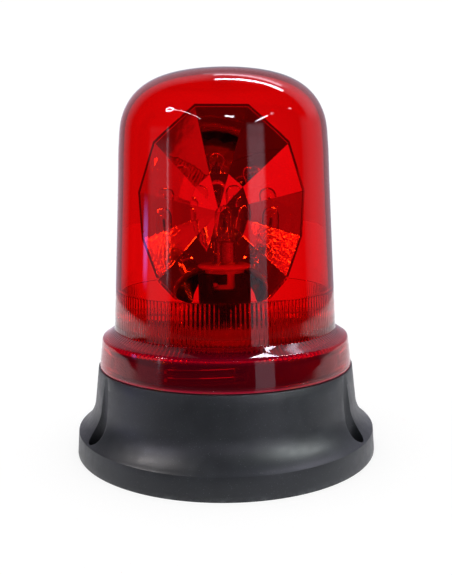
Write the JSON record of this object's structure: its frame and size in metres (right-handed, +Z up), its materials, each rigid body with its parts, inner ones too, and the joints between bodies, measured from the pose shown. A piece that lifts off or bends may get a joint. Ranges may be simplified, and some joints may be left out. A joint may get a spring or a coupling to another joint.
{
  "type": "rotating beacon",
  "caption": "Red dome warning beacon whose faceted mirror turns about a fixed lamp on a flared screw-down base.",
  "frame": {"origin": "centre of the base at its mounting plane", "axes": "+Z up along the axis of the dome, -Y towards the front, where the reflector faces at rest"},
  "size_m": [0.15, 0.15, 0.184],
  "materials": {
    "base_black": "fine spark-eroded texture, satin",
    "cover_black": "satin",
    "seal_rubber": "matt",
    "lens_seal_rubber": "matt",
    "screw_steel": "zinc plated",
    "terminal_white": "satin",
    "plate_zinc": "zinc plated sheet",
    "column_black": "satin",
    "contact_board": "laminated board, satin",
    "contact_brass": "plain",
    "spring_steel": "drawn wire",
    "holder_grey": "moulded",
    "bulb_cap_metal": "nickel plated",
    "bulb_glass": "clear",
    "filament_metal": "drawn wire",
    "turntable_grey": "moulded",
    "bush_brass": "sintered",
    "washer_white": "plain",
    "gear_white": "moulded",
    "pinion_white": "moulded",
    "mirror": "vacuum metallised plastic",
    "motor_can_steel": "plated drawn steel",
    "motor_cap_black": "moulded",
    "armature_steel": "laminated",
    "commutator_copper": "turned",
    "magnet_grey": "sintered ferrite",
    "lead_insulation": "extruded",
    "lead_insulation_dark": "extruded",
    "lens_red": "transparent, polished"
  },
  "bodies": {
    "base": {"base_housing": "base_black", "mounting_gasket": "seal_rubber", "bottom_cover": "cover_black", "bottom_cover_screws": "screw_steel", "cable_grommet": "seal_rubber", "terminal_block": "terminal_white", "terminal_screws": "screw_steel", "chassis_plate": "plate_zinc", "chassis_screws": "screw_steel", "lamp_column": "column_black", "column_screws": "screw_steel", "contact_disc": "contact_board", "contact_rivets": "contact_brass", "thrust_washer": "washer_white", "retaining_ring": "spring_steel", "motor_can": "motor_can_steel", "motor_end_cap": "motor_cap_black", "motor_terminals": "contact_brass", "motor_magnets": "magnet_grey", "motor_screws": "screw_steel", "motor_leads": "lead_insulation", "lamp_leads": "lead_insulation_dark"},
    "turntable": {"turntable_disc": "turntable_grey", "turntable_bush": "bush_brass", "ring_gear": "gear_white", "reflector": "mirror", "reflector_screws": "screw_steel"},
    "motor_rotor": {"motor_shaft": "spring_steel", "motor_armature": "armature_steel", "motor_commutator": "commutator_copper", "drive_pinion": "pinion_white"},
    "lamp_carrier": {"lamp_holder": "holder_grey", "bayonet_pins": "screw_steel", "holder_contacts": "contact_brass", "bulb_cap": "bulb_cap_metal", "bulb_glass": "bulb_glass", "bulb_filament": "filament_metal", "filament_supports": "filament_metal", "lamp_spring": "spring_steel"},
    "lens_ring": {"lens_seal": "lens_seal_rubber"},
    "lens": {"dome_lens": "lens_red"}
  },
  "joints": [
    {"name": "reflector_spin", "type": "hinge", "parent": "base", "child": "turntable", "pos_m": [0, 0, 0.055], "axis": [0, 0, 1], "continuous": true},
    {"name": "motor_spin", "type": "hinge", "parent": "base", "child": "motor_rotor", "pos_m": [0, 0.04004, 0.04], "axis": [0, 0, 1], "continuous": true},
    {"name": "lens_turn", "type": "hinge", "parent": "base", "child": "lens_ring", "pos_m": [0, 0, 0.043], "axis": [0, 0, 1], "range_deg": [0, 36]},
    {"name": "lens_rise", "type": "slide", "parent": "lens_ring", "child": "lens", "axis": [0, 0, 1], "range_m": [0, 0.002]},
    {"name": "lamp_press", "type": "slide", "parent": "base", "child": "lamp_carrier", "axis": [0, 0, 1], "range_m": [-0.0015, 0], "stiffness_N_per_m": 600, "springref_m": 0.003, "deforming": ["lamp_spring"]}
  ],
  "couplings": [
    {"joint": "motor_spin", "follows": "reflector_spin", "ratio": -3.7059},
    {"joint": "lens_rise", "follows": "lens_turn", "m_per_rad": 0.0031831}
  ]
}
